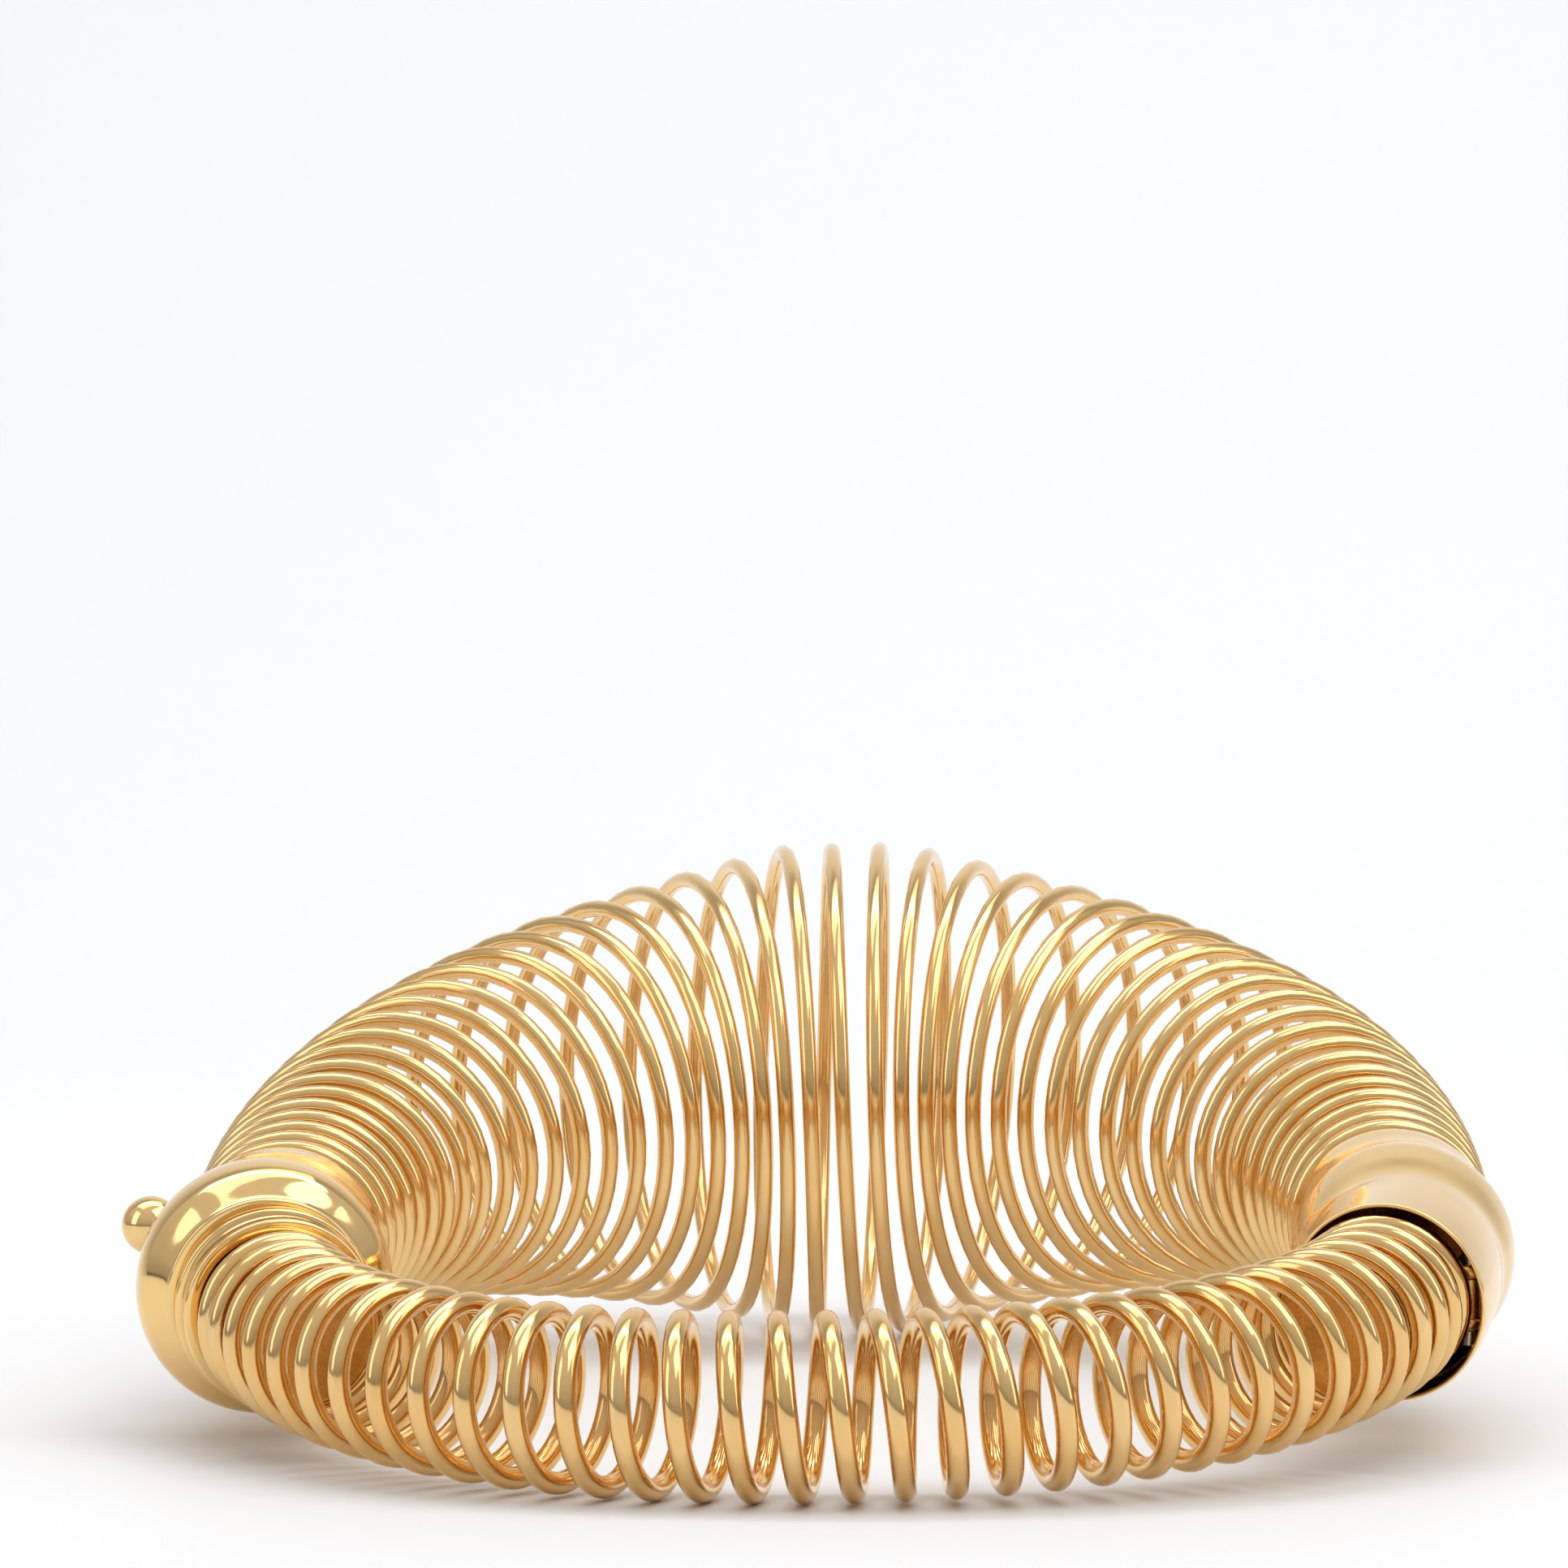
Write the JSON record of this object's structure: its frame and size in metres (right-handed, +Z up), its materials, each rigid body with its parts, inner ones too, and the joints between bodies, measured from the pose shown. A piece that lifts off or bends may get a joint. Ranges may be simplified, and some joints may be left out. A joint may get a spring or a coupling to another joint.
{
  "type": "coil spring bracelet",
  "caption": "Hinged bracelet of a slim coil spring and a barrel-shaped coil spring, joined by polished bell collars with a push-ball clasp.",
  "frame": {"origin": "middle of the footprint on the table the bracelet lies on", "axes": "+Z up from the table; +Y from the slim front spring to the big coils at the back; +X towards the hinge collar, the clasp collar on -X"},
  "size_m": [0.0742, 0.1002, 0.0308],
  "materials": {
    "gold_wire": "polished gold-coloured wire",
    "gold_collar": "mirror-polished gold-coloured metal",
    "gold_inner": "fine-turned gold-coloured metal",
    "pin_steel": "drawn steel pin and spring wire"
  },
  "bodies": {
    "rear_half": {"rear_spring": "gold_wire", "clasp_bell": "gold_collar", "hinge_bell": "gold_collar", "clasp_rear_plug": "gold_inner", "hinge_rear_plug": "gold_inner", "clasp_washer": "gold_inner", "hinge_washer": "gold_inner", "clasp_block": "gold_inner", "thumb_spring": "pin_steel", "hinge_yoke": "gold_inner", "hinge_pin": "pin_steel"},
    "front_half": {"front_spring": "gold_wire", "front_cap": "gold_collar", "front_clasp_plug": "gold_inner", "front_hinge_plug": "gold_inner", "plug_pin_upper": "pin_steel", "plug_pin_lower": "pin_steel", "tongue": "gold_inner", "tongue_rivet": "pin_steel"},
    "thumb": {"thumb_ball": "gold_collar", "catch_plate": "gold_inner"}
  },
  "joints": [
    {"name": "bracelet_hinge", "type": "hinge", "parent": "rear_half", "child": "front_half", "pos_m": [0.03342, -0.02434, 0.00801], "axis": [-0.0156, -0.1331, 0.991], "range_deg": [0, 11]},
    {"name": "thumb_press", "type": "slide", "parent": "rear_half", "child": "thumb", "axis": [0.997, 0.0726, 0.0254], "range_m": [0, 0.00075], "stiffness_N_per_m": 400, "deforming": ["thumb_spring"]}
  ]
}
